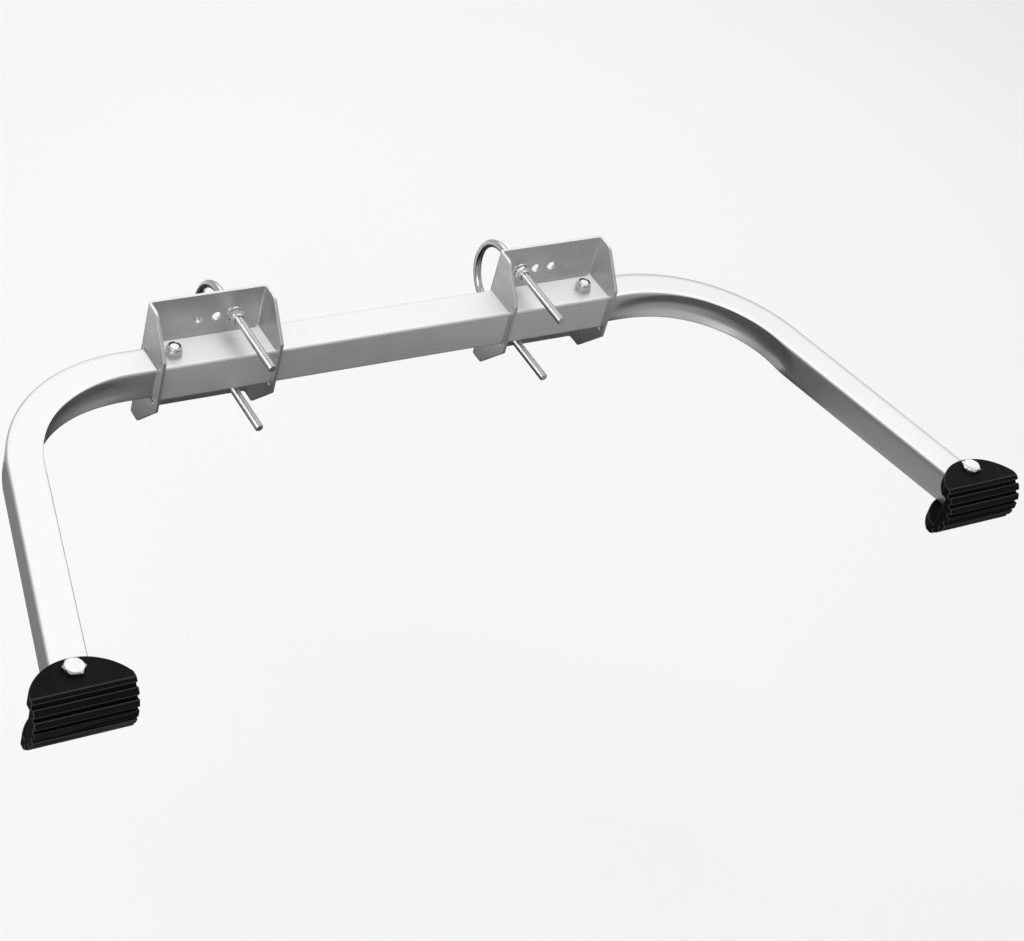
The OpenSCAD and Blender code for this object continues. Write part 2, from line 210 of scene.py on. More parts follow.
# Bolts, nuts, washers and U-bolts: bright zinc over rolled steel, smoother than the sheet.
zincLook = {
    "light": "#d0d0cf",
    "dark": "#b8b8b7",
    "even": {"Metallic": 1.0},
    "darkRough": 0.28,
    "lightRough": 0.16,
    "cloudSize": 0.006,
    "grainSize": 0.0006,
    "bump": 0.04,
    "bumpHeight": 0.0001,
}
zincMaterial = platedSheet("brightZincSteel", zincLook)

# Feet, moulded black rubber. The mould's fine grain and a trace of bloom keep it from being glossy, and
# the eased outer edges get a painted highlight: a lighter grey base colour where light would catch them.
rubberLook = {
    "light": "#0b0b0b",
    "dark": "#060606",
    # lighter grey base colour on the eased edges, a painted highlight
    "rubbed": "#333333",
    "even": {"Specular IOR Level": 0.07},
    "darkRough": 0.5,
    "lightRough": 0.66,
    "bloomSize": 0.02,
    "grainSize": 0.0009,
    "bump": 0.25,
    "bumpHeight": 0.0001,
}


def mouldedRubber(name, look):
    material, tree, shader = newMaterial(name)
    known = {"place": addNode(tree, "ShaderNodeTexCoord").outputs["Object"]}
    workOut(tree, known, (
        ("bloom", "ShaderNodeTexNoise", {"Vector": "place", "Scale": 1 / look["bloomSize"], "Detail": 5.0}),
        ("grain", "ShaderNodeTexVoronoi", {"Vector": "place", "Scale": 1 / look["grainSize"]}),
        ("edge", "ShaderNodeAttribute", (), {"attribute_name": "rubbed"}),
    ))
    tint = coat(tree, shader, look, known["bloom"], known["grain"])
    # painted highlight: the marked edge faces take a lighter grey base colour along the eased edges
    edgeHighlightTint = addNode(tree, "ShaderNodeMix", {
        "Factor": known["edgeFac"], 6: tint, 7: fromHex(look["rubbed"])}, data_type="RGBA")
    tree.links.new(edgeHighlightTint.outputs[2], shader.inputs["Base Color"])
    return material


rubberMaterial = mouldedRubber("mouldedRubber", rubberLook)

# Lock-nut inserts, dark nylon with a dull skin.
nylonLook = {
    "light": "#3a3b3d",
    "dark": "#26272a",
    # painted edge highlight colour; only meshes that mark their eased edges use it
    "rubbed": "#4a4b4d",
    "even": {"Specular IOR Level": 0.4},
    "darkRough": 0.35,
    "lightRough": 0.45,
    "bloomSize": 0.004,
    "grainSize": 0.0005,
    "bump": 0.1,
    "bumpHeight": 0.0001,
}
nylonMaterial = mouldedRubber("darkNylon", nylonLook)

finishOf = {"tube": tubeMaterial, "arm": armMaterial, "bracket": bracketMaterial, "foot": rubberMaterial}
for name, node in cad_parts.items():
    for slot in node.material_slots:
        slot.material = finishOf.get(name.split("_")[-1], zincMaterial)
print("materials on the frame")

creaseAngle = {"arm": 32, "rod": 40, "turned": 32, "eased": 34}  # edges that turn further stay sharp


def shadeRound(mesh, kind):
    mesh.shade_smooth()
    mesh.set_sharp_from_angle(angle=math.radians(creaseAngle[kind]))
    return mesh


def addObject(name, data):
    thing = bpy.data.objects.new(name, data)
    bpy.context.scene.collection.objects.link(thing)
    return thing


def newPiece(name, mesh, finish, body, slot, *nodes):  # links a mesh as a piece that rides on a body
    mesh.materials.clear()
    mesh.materials.append(finish)
    mesh.polygons.foreach_set("material_index", [0] * len(mesh.polygons))
    piece = addObject(name, mesh)
    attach(piece, body)
    if nodes:
        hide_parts(*nodes)
    return piece


def closedMesh(mesh):  # merges seams and poles and turns every face outwards
    work = bmesh.new()
    work.from_mesh(mesh)
    bmesh.ops.remove_doubles(work, verts=work.verts, dist=mergeReach)
    bmesh.ops.recalc_face_normals(work, faces=work.faces)
    work.to_mesh(mesh)
    work.free()
    return mesh


def plainCopy(blank):  # the mesh as its modifiers leave it, and the object that carried them goes
    state = bpy.context.evaluated_depsgraph_get()
    mesh = bpy.data.meshes.new_from_object(blank.evaluated_get(state))
    bpy.data.objects.remove(blank)
    return mesh


def newTree(name, sizes):  # a node group with an input for each size
    tree = bpy.data.node_groups.new(name, "GeometryNodeTree")
    for label, value in sizes.items():
        kind = {float: "Float", int: "Int"}.get(type(value), "Material")
        tree.interface.new_socket(label, in_out="INPUT", socket_type="NodeSocket" + kind)
    tree.interface.new_socket("Mesh", in_out="OUTPUT", socket_type="NodeSocketGeometry")
    known = {socket.name: socket for socket in addNode(tree, "NodeGroupInput").outputs if socket.name}
    return tree, known


def treeMesh(name, tree, sizes):  # runs a node group with the given sizes and keeps the plain mesh
    blank = addObject(name + "Blank", bpy.data.meshes.new(name + "Blank"))
    modifier = blank.modifiers.new("grow", "NODES")
    modifier.node_group = tree
    for item in tree.interface.items_tree:
        if item.in_out == "INPUT":
            modifier[item.identifier] = sizes[item.name]
    return plainCopy(blank)


# Bent arm. A rounded square runs along the route of the arm, and the inner wall is pushed outwards
# where bending makes it sink. A ring of round section sets the groove: it is deepest 26.5 degrees round
# from the leg, and leaves the leg's wall 30 mm along it.
groove = {
    "depth": 0.0085,
    "turn": 26.5,
    "run": 0.03,
}
bentArm = {
    "Start": 0.146,
    "Bend X": armPath["bendX"],
    "Bend Y": armPath["bendY"],
    "Bend radius": 0.138,
    "Bend angle": math.radians(armPath["bendAngle"]),
    "Leg": 0.2565,
    "Half width": 0.0162,
    "Wall": 0.002,
    "Corner radius": 0.002,
    "Inner corner radius": 0.0003,
    "Corner steps": 3,
    "Groove radius": 0.026,
    "Groove drop": 0.003,
    "Rim softness": 0.0035,
    "Push reach": 0.87,  # the groove's push is full from this share of the half width inwards
    "Fine lead": 0.023,
    "Fine leg": 0.046,
    "Arm bolt X": 0.22,
    "Arm bolt radius": 0.0053,
    "Foot bolt radius": 0.00505,
    "Foot bolt back": 0.014,
    "Cutter overrun": 0.001,
    "Rows": 120,
    "Cuts": 5,
    "Hole sides": 48,
    "Finish": armMaterial,
}
wallReach = bentArm["Bend radius"] - bentArm["Half width"]
deepReach = wallReach + groove["depth"]
grooveAngle = math.radians(groove["turn"])
ringShift = (deepReach ** 2 - wallReach ** 2 - groove["run"] ** 2) / 2 / (
    deepReach - wallReach * math.cos(grooveAngle) + groove["run"] * math.sin(grooveAngle))
bentArm["Ring X"] = armPath["bendX"] + ringShift * math.cos(armFlare + grooveAngle)
bentArm["Ring Y"] = armPath["bendY"] + ringShift * math.sin(armFlare + grooveAngle)
bentArm["Ring radius"] = deepReach - ringShift - bentArm["Groove radius"]


def tubeSkin(tree, known, half, corner, overrun):  # outside of the tube, or its hollow when made smaller
    known = dict(known, half=half, corner=corner, overrun=overrun)
    workOut(tree, known, (
        ("row", "GeometryNodeInputIndex", ()),
        ("lastFine", "SUBTRACT", ("Rows", 2.0)),
        ("lastRow", "ADD", ("lastFine", 1.0)),
        ("plainLeg", "SUBTRACT", ("Leg", "Fine leg")),
        ("leadPart", "ShaderNodeMapRange", ("row", 0.0, 1.0, 0.0, "fineStart")),
        ("finePart", "ShaderNodeMapRange", ("row", 1.0, "lastFine", 0.0, "fineRun")),
        ("legPart", "ShaderNodeMapRange", ("row", "lastFine", "lastRow", 0.0, "plainLeg")),
        ("toLeg", "ADD", ("leadPart", "finePart")),
        ("along", "ADD", ("toLeg", "legPart")),
        ("endShift", "ShaderNodeMapRange", ("row", "lastFine", "lastRow", 0.0, "overrun")),
        ("pastFirst", "ShaderNodeMapRange", ("row", 0.0, 1.0, 0.0, "overrun")),
        ("startShift", "SUBTRACT", ("overrun", "pastFirst")),
        ("stretch", "SUBTRACT", ("endShift", "startShift")),
        ("fromBend", "SUBTRACT", ("along", "lead")),
        ("station", "ADD", ("fromBend", "stretch")),
        ("pastLead", "MAXIMUM", ("station", 0.0)),
        ("onBend", "MINIMUM", ("pastLead", "bendRun")),
        ("bent", "DIVIDE", ("onBend", "Bend radius")),
        ("turn", "SUBTRACT", (quarterTurn, "bent")),
        ("turnCos", "COSINE", ("turn",)),
        ("turnSin", "SINE", ("turn",)),
        ("before", "MINIMUM", ("station", 0.0)),
        ("pastBend", "SUBTRACT", ("station", "bendRun")),
        ("after", "MAXIMUM", ("pastBend", 0.0)),
        ("leadX", "ADD", ("Bend X", "before")),
        ("bendX", "MULTIPLY", ("Bend radius", "turnCos")),
        ("legX", "MULTIPLY", ("after", "flareSin")),
        ("turnX", "ADD", ("bendX", "legX")),
        ("x", "ADD", ("leadX", "turnX")),
        ("bendY", "MULTIPLY", ("Bend radius", "turnSin")),
        ("leadY", "ADD", ("Bend Y", "bendY")),
        ("legY", "MULTIPLY", ("after", "flareCos")),
        ("y", "SUBTRACT", ("leadY", "legY")),
        ("routeSpot", "ShaderNodeCombineXYZ", ("x", "y")),
        ("line", "GeometryNodeMeshLine", {"Count": "Rows"}),
        ("laid", "GeometryNodeSetPosition", {"Geometry": "line", "Position": "routeSpot"}),
        ("route", "GeometryNodeMeshToCurve", {"Mesh": "laid"}),
        ("upright", "GeometryNodeSetCurveNormal", {"Curve": "route"}, {"mode": "Z_UP"}),
        ("width", "MULTIPLY", ("half", 2.0)),
        ("square", "GeometryNodeCurvePrimitiveQuadrilateral", {"Width": "width", "Height": "width"}),
        ("rounded", "GeometryNodeFilletCurve",
         {"Curve": "square", "Radius": "corner", "Count": "Corner steps"}, {"mode": "POLY"}),
        ("fine", "GeometryNodeSubdivideCurve", {"Curve": "rounded", "Cuts": "Cuts"}),
        ("swept", "GeometryNodeCurveToMesh", {
            "Curve": "upright", "Profile Curve": "fine", "Fill Caps": True}),
    ))
    workOut(tree, known, (  # how far each point lies from the ring, and which way is out
        ("spot", "GeometryNodeInputPosition", ()),
        ("part", "ShaderNodeSeparateXYZ", ("spot",)),
        ("offX", "SUBTRACT", ("partX", "Bend X")),
        ("offY", "SUBTRACT", ("partY", "Bend Y")),
        ("flat", "ShaderNodeCombineXYZ", ("offX", "offY")),
        ("bendOut", "ShaderNodeVectorMath", ("flat",), {"operation": "NORMALIZE"}),
        ("flareBack", "MULTIPLY", ("flareCos", -1.0)),
        ("legAlong", "ShaderNodeCombineXYZ", ("flareSin", "flareBack")),
        ("ahead", "ShaderNodeVectorMath", ("flat", "legAlong"), {"operation": "DOT_PRODUCT"}),
        ("onLead", "LESS_THAN", ("offX", 0.0)),
        ("onLeg", "GREATER_THAN", ("ahead", 0.0)),
        ("leadOut", "ShaderNodeCombineXYZ", (0.0, 1.0)),
        ("leadOrBend", "ShaderNodeMix", {0: "onLead", 4: "bendOut", 5: "leadOut"},
         {"data_type": "VECTOR"}),
        ("outward", "ShaderNodeMix", {0: "onLeg", 4: "leadOrBend", 5: "legOut"},
         {"data_type": "VECTOR"}),
        ("reach", "ShaderNodeVectorMath", ("flat", "outward"), {"operation": "DOT_PRODUCT"}),
        ("aside", "SUBTRACT", ("reach", "Bend radius")),
        ("pastWall", "ADD", ("aside", "Half width")),
        ("toWall", "ShaderNodeVectorMath", {0: "outward", "Scale": "pastWall"}, {"operation": "SCALE"}),
        ("onWall", "ShaderNodeVectorMath", ("flat", "toWall"), {"operation": "SUBTRACT"}),
        ("ringX", "SUBTRACT", ("Ring X", "Bend X")),
        ("ringY", "SUBTRACT", ("Ring Y", "Bend Y")),
        ("ring", "ShaderNodeCombineXYZ", ("ringX", "ringY")),
        ("fromRing", "ShaderNodeVectorMath", ("onWall", "ring"), {"operation": "DISTANCE"}),
        ("low", "ADD", ("partZ", "Groove drop")),
        ("grooveSquare", "MULTIPLY", ("Groove radius", "Groove radius")),
        ("lowSquare", "MULTIPLY", ("low", "low")),
        ("riseSquare", "SUBTRACT", ("grooveSquare", "lowSquare")),
        ("inRing", "MAXIMUM", ("riseSquare", 0.0)),
        ("rise", "SQRT", ("inRing",)),
        ("rim", "ADD", ("Ring radius", "rise")),
        ("sunk", "SUBTRACT", ("rim", "fromRing")),
        ("push", "SMOOTH_MAX", ("sunk", 0.0, "Rim softness")),
        ("backReach", "MULTIPLY", ("Push reach", -1.0)),
        ("pushStart", "MULTIPLY", ("Half width", "backReach")),
        ("share", "ShaderNodeMapRange", ("aside", 0.0, "pushStart", 0.0, 1.0)),
        ("depth", "MULTIPLY", ("push", "share")),
        ("shift", "ShaderNodeVectorMath", {0: "outward", "Scale": "depth"}, {"operation": "SCALE"}),
        ("skin", "GeometryNodeSetPosition", {"Geometry": "swept", "Offset": "shift"}),
    ))
    return known["skin"]


def armTree(sizes):
    tree, known = newTree("bentArm", sizes)
    workOut(tree, known, (
        ("flare", "SUBTRACT", (quarterTurn, "Bend angle")),
        ("flareCos", "COSINE", ("flare",)),
        ("flareSin", "SINE", ("flare",)),
        ("legOut", "ShaderNodeCombineXYZ", ("flareCos", "flareSin")),
        ("lead", "SUBTRACT", ("Bend X", "Start")),
        ("bendRun", "MULTIPLY", ("Bend radius", "Bend angle")),
        ("fineStart", "SUBTRACT", ("lead", "Fine lead")),
        ("leadAndBend", "ADD", ("Fine lead", "bendRun")),
        ("fineRun", "ADD", ("leadAndBend", "Fine leg")),
        ("hollowHalf", "SUBTRACT", ("Half width", "Wall")),
        ("drillDepth", "MULTIPLY", ("Half width", 3.0)),
        ("tubeY", "ADD", ("Bend Y", "Bend radius")),
        ("footReach", "SUBTRACT", ("Leg", "Foot bolt back")),
        ("endX", "MULTIPLY", ("Bend radius", "flareCos")),
        ("footRunX", "MULTIPLY", ("footReach", "flareSin")),
        ("footOffX", "ADD", ("endX", "footRunX")),
        ("footX", "ADD", ("Bend X", "footOffX")),
        ("endY", "MULTIPLY", ("Bend radius", "flareSin")),
        ("footRunY", "MULTIPLY", ("footReach", "flareCos")),
        ("footOffY", "SUBTRACT", ("endY", "footRunY")),
        ("footY", "ADD", ("Bend Y", "footOffY")),
        ("armPlace", "ShaderNodeCombineXYZ", ("Arm bolt X", "tubeY")),
        ("footPlace", "ShaderNodeCombineXYZ", ("footX", "footY")),
        ("armDrill", "GeometryNodeMeshCylinder", {
            "Vertices": "Hole sides", "Radius": "Arm bolt radius", "Depth": "drillDepth"}),
        ("footDrill", "GeometryNodeMeshCylinder", {
            "Vertices": "Hole sides", "Radius": "Foot bolt radius", "Depth": "drillDepth"}),
        ("armHole", "GeometryNodeTransform", {"Geometry": "armDrill", "Translation": "armPlace"}),
        ("footHole", "GeometryNodeTransform", {"Geometry": "footDrill", "Translation": "footPlace"}),
    ))
    outside = tubeSkin(tree, known, known["Half width"], known["Corner radius"], 0.0)
    hollow = tubeSkin(
        tree, known, known["hollowHalf"], known["Inner corner radius"], known["Cutter overrun"])
    cut = addNode(
        tree, "GeometryNodeMeshBoolean", {"Mesh 1": outside}, operation="DIFFERENCE", solver="EXACT")
    for cutter in (hollow, known["armHole"], known["footHole"]):
        tree.links.new(cutter, cut.inputs["Mesh 2"])
    known["cut"] = cut.outputs[0]
    workOut(tree, known, (
        ("real", "GeometryNodeRealizeInstances", {"Geometry": "cut"}),
        ("coated", "GeometryNodeSetMaterial", {"Geometry": "real", "Material": "Finish"}),
        ("result", "NodeGroupOutput", {"Mesh": "coated"}),
    ))
    return tree


armGroup = armTree(bentArm)
for side, sign in sides:
    mesh = treeMesh(side + "Arm", armGroup, bentArm)
    mesh.transform(Matrix.Diagonal((sign, 1, 1, 1)))
    mesh = shadeRound(closedMesh(mesh), "arm")
    newPiece(side + "BentArm", mesh, armMaterial, "frame", "arm_aluminium", side + "_arm")
print("arms bent")

# U-bolts: M8 rod with rolled threads, 1.25 mm a turn, on most of each leg. A grid of rows and columns is
# wrapped round a route that runs straight, goes half round an arch and runs straight again. The rows
# lie close together where the thread is.
uBolt = {
    "Straight": 0.114,
    "Arch radius": 0.035,
    "Arch start": 0.0301,
    "Arch middle": 0.0024,
    "Beside": 0.1535,
    "Rod radius": 0.004,
    "Thread length": 0.094,
    "Pitch": 0.00125,
    "Thread depth": 0.0004,
    "Crest end": 0.12,  # of the half pitch, from the middle of the crest
    "Root start": 0.86,
    "Chamfer": 0.001,
    "Thread rows": 750,
    "Plain rows": 60,
    "Columns": 20,
    "Finish": zincMaterial,
}


def rodTree(sizes):
    tree, known = newTree("threadedRod", sizes)
    workOut(tree, known, (
        ("threadEnd", "ADD", ("Thread rows", 1.0)),
        ("plainEnd", "ADD", ("threadEnd", "Plain rows")),
        ("lastThread", "ADD", ("plainEnd", "Thread rows")),
        ("lastRow", "ADD", ("lastThread", 1.0)),
        ("rows", "ADD", ("lastRow", 1.0)),
        ("columns", "ADD", ("Columns", 1.0)),
        ("grid", "GeometryNodeMeshGrid", {
            "Size X": 1.0, "Size Y": 1.0, "Vertices X": "rows", "Vertices Y": "columns"}),
        ("spot", "GeometryNodeInputPosition", ()),
        ("part", "ShaderNodeSeparateXYZ", ("spot",)),
        ("rowShare", "ADD", ("partX", 0.5)),
        ("row", "MULTIPLY", ("rowShare", "lastRow")),
        ("turnShare", "ADD", ("partY", 0.5)),
        ("turn", "MULTIPLY", ("turnShare", fullTurn)),
        ("turnCos", "COSINE", ("turn",)),
        ("turnSin", "SINE", ("turn",)),
        ("archLength", "MULTIPLY", ("Arch radius", math.pi)),
        ("straights", "MULTIPLY", ("Straight", 2.0)),
        ("route", "ADD", ("archLength", "straights")),
        ("threads", "MULTIPLY", ("Thread length", 2.0)),
        ("plainLength", "SUBTRACT", ("route", "threads")),
        ("firstPart", "ShaderNodeMapRange", ("row", 1.0, "threadEnd", 0.0, "Thread length")),
        ("plainPart", "ShaderNodeMapRange", ("row", "threadEnd", "plainEnd", 0.0, "plainLength")),
        ("lastPart", "ShaderNodeMapRange", ("row", "plainEnd", "lastThread", 0.0, "Thread length")),
        ("twoParts", "ADD", ("firstPart", "plainPart")),
        ("along", "ADD", ("twoParts", "lastPart")),
        ("fromFarTip", "SUBTRACT", ("route", "along")),
        ("fromTip", "MINIMUM", ("along", "fromFarTip")),
    ))
    workOut(tree, known, (  # the radius, cut by the thread, chamfered at the tips and closed at the ends
        ("pitches", "DIVIDE", ("along", "Pitch")),
        ("lag", "DIVIDE", ("turn", fullTurn)),
        ("phase", "ADD", ("pitches", "lag")),
        ("inTurn", "FRACT", ("phase",)),
        ("twice", "MULTIPLY", ("inTurn", 2.0)),
        ("offCrest", "SUBTRACT", ("twice", 1.0)),
        ("flank", "ABSOLUTE", ("offCrest",)),
        ("groove", "ShaderNodeMapRange", ("flank", "Crest end", "Root start", 0.0, 1.0)),
        ("threadLeft", "SUBTRACT", ("Thread length", "fromTip")),
        ("fadeLength", "MULTIPLY", ("Pitch", 2.0)),
        ("fade", "ShaderNodeMapRange", ("threadLeft", 0.0, "fadeLength", 0.0, 1.0)),
        ("faded", "MULTIPLY", ("groove", "fade")),
        ("cut", "MULTIPLY", ("faded", "Thread depth")),
        ("body", "SUBTRACT", ("Rod radius", "cut")),
        ("tipRadius", "SUBTRACT", ("Rod radius", "Chamfer")),
        ("tip", "ADD", ("tipRadius", "fromTip")),
        ("firstCap", "ShaderNodeMapRange", ("row", 0.0, 1.0, 0.0, 1.0)),
        ("rowsLeft", "SUBTRACT", ("lastRow", "row")),
        ("lastCap", "ShaderNodeMapRange", ("rowsLeft", 0.0, 1.0, 0.0, 1.0)),
        ("ends", "MULTIPLY", ("firstCap", "lastCap")),
        ("solid", "MINIMUM", ("body", "tip")),
        ("radius", "MULTIPLY", ("solid", "ends")),
    ))
    workOut(tree, known, (  # the place of each point on the route
        ("pastStraight", "SUBTRACT", ("along", "Straight")),
        ("pastStart", "MAXIMUM", ("pastStraight", 0.0)),
        ("onArch", "MINIMUM", ("pastStart", "archLength")),
        ("anyRadius", "MAXIMUM", ("Arch radius", 0.000001)),  # a straight rod has no arch
        ("angle", "DIVIDE", ("onArch", "anyRadius")),
        ("sine", "SINE", ("angle",)),
        ("cosine", "COSINE", ("angle",)),
        ("out", "MULTIPLY", ("radius", "turnCos")),
        ("reach", "ADD", ("Arch radius", "out")),
        ("before", "MINIMUM", ("pastStraight", 0.0)),
        ("pastArch", "SUBTRACT", ("pastStraight", "archLength")),
        ("after", "MAXIMUM", ("pastArch", 0.0)),
        ("run", "SUBTRACT", ("before", "after")),
        ("outX", "MULTIPLY", ("radius", "turnSin")),
        ("x", "ADD", ("Beside", "outX")),
        ("outY", "MULTIPLY", ("reach", "sine")),
        ("archY", "ADD", ("Arch start", "outY")),
        ("y", "ADD", ("archY", "run")),
        ("outZ", "MULTIPLY", ("reach", "cosine")),
        ("z", "ADD", ("Arch middle", "outZ")),
        ("place", "ShaderNodeCombineXYZ", ("x", "y", "z")),
        ("wrapped", "GeometryNodeSetPosition", {"Geometry": "grid", "Position": "place"}),
        ("real", "GeometryNodeRealizeInstances", {"Geometry": "wrapped"}),
        ("coated", "GeometryNodeSetMaterial", {"Geometry": "real", "Material": "Finish"}),
        ("result", "NodeGroupOutput", {"Mesh": "coated"}),
    ))
    return tree


rodGroup = rodTree(uBolt)


def rodMesh(name, sizes):
    return shadeRound(closedMesh(treeMesh(name, rodGroup, sizes)), "rod")


for side, sign in sides:
    mesh = rodMesh(side + "UBolt", dict(uBolt, Beside=sign * uBolt["Beside"]))
    newPiece(side + "UBoltRod", mesh, zincMaterial, side + "_u_bolt", "zinc_fastener", side + "_u_bolt")
print("U-bolts threaded")


def turned(name, rows, columns=72, closed=True):
    # rows of (height, radius, flats): a row with flats is cut to a hexagon that wide
    sixth = fullTurn / 6
    points = []
    for height, radius, flats in rows:
        for i in range(columns):
            angle = fullTurn * i / columns
            reach = radius
            if flats:
                reach = min(radius, flats / 2 / math.cos(angle % sixth - sixth / 2))
            points.append((reach * math.cos(angle), reach * math.sin(angle), height))
    faces = []
    for j in range(len(rows) if closed else len(rows) - 1):
        k = (j + 1) % len(rows)
        for i in range(columns):
            n = (i + 1) % columns
            faces.append((j * columns + i, j * columns + n, k * columns + n, k * columns + i))
    mesh = bpy.data.meshes.new(name)
    mesh.from_pydata(points, [], faces)
    return shadeRound(closedMesh(mesh), "turned")


# Lock nuts: cold-formed hexagons with bevelled corners, and a collar rolled over a nylon ring. The
# profiles are (below the top, inside the wall) in metres.
nutShape = {
    "collarStep": 0.0008,  # from the flats in to the collar
    "lipShare": 0.45,  # of the way from the bore out to the collar
    "crown": 0.47,  # radius of the hexagon's top face, of its flats
    "crownSlope": 0.62,
    "boreEdge": 0.0004,
    "footEdge": (0.0003, 0.0004),
    "neck": ((0.0001, 0.0002), (0.0004, 0)),
    "roll": ((0.0011, 0), (0.0005, 0.0002), (0.0001, 0.0006), (0, 0.001)),
    "lip": ((0.0001, 0.0002), (0.0004, 0), (0.0009, 0)),
    "floor": 0.0009,
}
ringShape = {"low": 0.0008, "shoulder": 0.0006, "top": 0.0005, "boreGap": -0.00004, "lipGap": 0.00002}
legNut = {"flats": 0.013, "hexHeight": 0.0052, "collarHeight": 0.0028, "bore": 0.00405}
armNut = {"flats": 0.015, "hexHeight": 0.005, "collarHeight": 0.0036, "bore": 0.00515}
footNut = {"flats": 0.017, "hexHeight": 0.006, "collarHeight": 0.0036, "bore": 0.00515}


def collarWalls(flats, bore):  # radius of the collar and of the lip inside it
    collar = flats / 2 - nutShape["collarStep"]
    return collar, bore + nutShape["lipShare"] * (collar - bore)


def lockNutRows(flats, hexHeight, collarHeight, bore):
    corner = flats / 2 / math.cos(fullTurn / 12)
    collar, lip = collarWalls(flats, bore)
    top = hexHeight + collarHeight
    crown = flats * nutShape["crown"]
    footHigh, footIn = nutShape["footEdge"]
    rows = [
        (nutShape["boreEdge"], bore, 0), (0, bore + nutShape["boreEdge"], 0),
        (0, corner - footIn, flats), (footHigh, corner, flats),
        (hexHeight - (corner - crown) * nutShape["crownSlope"], corner, flats), (hexHeight, crown, 0),
    ]
    rows += [(hexHeight + up, collar + out, 0) for up, out in nutShape["neck"]]
    rows += [(top - down, collar - inside, 0) for down, inside in nutShape["roll"]]
    rows += [(top - down, lip + out, 0) for down, out in nutShape["lip"]]
    rows.append((top - nutShape["floor"], bore, 0))
    return rows


def ringRows(flats, hexHeight, collarHeight, bore):
    outer = collarWalls(flats, bore)[1] - ringShape["lipGap"]
    inner = bore + ringShape["boreGap"]  # the thread cuts its way into the ring
    middle = (collarWalls(flats, bore)[1] + bore) / 2
    top = hexHeight + collarHeight
    low, shoulder, crown = (top - ringShape[key] for key in ("low", "shoulder", "top"))
    return [(low, inner, 0), (low, outer, 0), (shoulder, outer, 0),
            (crown, middle, 0), (shoulder, inner, 0)]


def lockNut(name, sizes, place, body, node):
    nut = turned(name, lockNutRows(**sizes))
    ring = turned(name + "Insert", ringRows(**sizes))
    nut.transform(place)
    ring.transform(place)
    newPiece(name, nut, zincMaterial, body, "zinc_fastener", node)
    newPiece(name + "Insert", ring, nylonMaterial, body, "zinc_fastener")


def spin(x, y, z, tilt=0.0, turn=0.0):  # stands at a place, tipped about X, after its own turn about Z
    return Matrix.Translation((x, y, z)) @ Matrix.Rotation(tilt, 4, "X") @ Matrix.Rotation(turn, 4, "Z")


# Where the fasteners sit. The turns are in degrees, as the flats stand in the photograph.
fit = {
    "nutFace": -0.0046,
    "legGap": 0.070,
    "legTurn": 30,
    "armBoltX": bentArm["Arm bolt X"],
    "tubeY": -0.0224,
    "tubeHalf": 0.019,
    "armTurn": -4,
    "armGrip": 0.0458,
    "pivotX": 0.454014,
    "pivotY": -0.365641,
    "footHalf": 0.0276,
    "footWasher": 0.002,
    "footTurn": 9,
    "footGrip": 0.0678,
}
for side, sign in sides:
    for level, up in (("upper", 1), ("lower", -1)):
        node = side + "_" + level + "_nut"
        height = uBolt["Arch middle"] + up * fit["legGap"] / 2
        spot = spin(sign * uBolt["Beside"], fit["nutFace"], height, quarterTurn, math.radians(fit["legTurn"]))
        lockNut(side + level.title() + "Nut", legNut, spot, node, node)
    spot = spin(sign * fit["armBoltX"], fit["tubeY"], fit["tubeHalf"],
                0, sign * math.radians(fit["armTurn"]))
    lockNut(side + "ArmNut", armNut, spot, "frame", side + "_arm_nut")
    spot = spin(sign * fit["pivotX"], fit["pivotY"], -fit["footHalf"] - fit["footWasher"], math.pi)
    lockNut(side + "FootNut", footNut, spot, side + "_foot", side + "_foot_nut")
print("lock nuts turned")

# Bolts: forged hexagon heads over a washer face, M10 with 1.5 mm a turn near the tip. The profiles are
# (height, radius) from the seat and from the top.
boltHead = {
    "flats": 0.017,
    "armHeight": 0.0064,
    "footHeight": 0.004,
    "seat": ((0, 0), (0, 0.0079), (0.0004, 0.0081)),
    "lowerEdge": ((0.0004, 0.0093), (0.0008, 0.00981)),
    "upperEdge": ((0.001, 0.00981),),
    "crown": ((0.0002, 0.0081), (0, 0.0076), (0.0001, 0.0072), (0.0001, 0)),
}
boltThread = dict(uBolt, Pitch=0.0015, Beside=0.0, Columns=24)
boltThread.update({
    "Arch radius": 0.0,
    "Arch start": 0.0,
    "Arch middle": 0.0,
    "Rod radius": 0.005,
    "Thread depth": 0.0008,
    "Thread length": 0.026,
    "Thread rows": 180,
    "Plain rows": 6,
})


def headRows(height):
    rows = [(up, radius, 0) for up, radius in boltHead["seat"]]
    rows += [(up, radius, boltHead["flats"]) for up, radius in boltHead["lowerEdge"]]
    rows += [(height - down, radius, boltHead["flats"]) for down, radius in boltHead["upperEdge"]]
    rows += [(height - down, radius, 0) for down, radius in boltHead["crown"]]
    return rows


def hexBolt(name, height, grip, place, body, node):
    head = turned(name + "Head", headRows(height), closed=False)
    head.transform(place)
    newPiece(name + "Head", head, zincMaterial, body, "zinc_fastener", node)
    shank = rodMesh(name + "Shank", dict(boltThread, Straight=grip / 2))
    shank.transform(place @ Matrix.Translation((0, 0, -grip / 2)) @ Matrix.Rotation(quarterTurn, 4, "X"))
    newPiece(name + "Shank", shank, zincMaterial, body, "zinc_fastener")


for side, sign in sides:
    spot = spin(sign * fit["armBoltX"], fit["tubeY"], -fit["tubeHalf"], math.pi)
    hexBolt(side + "ArmBolt", boltHead["armHeight"], fit["armGrip"], spot, "frame", side + "_arm_bolt")
    spot = spin(sign * fit["pivotX"], fit["pivotY"], fit["footHalf"],
                0, sign * math.radians(fit["footTurn"]))
    hexBolt(side + "FootBolt", boltHead["footHeight"], fit["footGrip"], spot,
            side + "_foot", side + "_foot_bolt")
print("bolts turned")

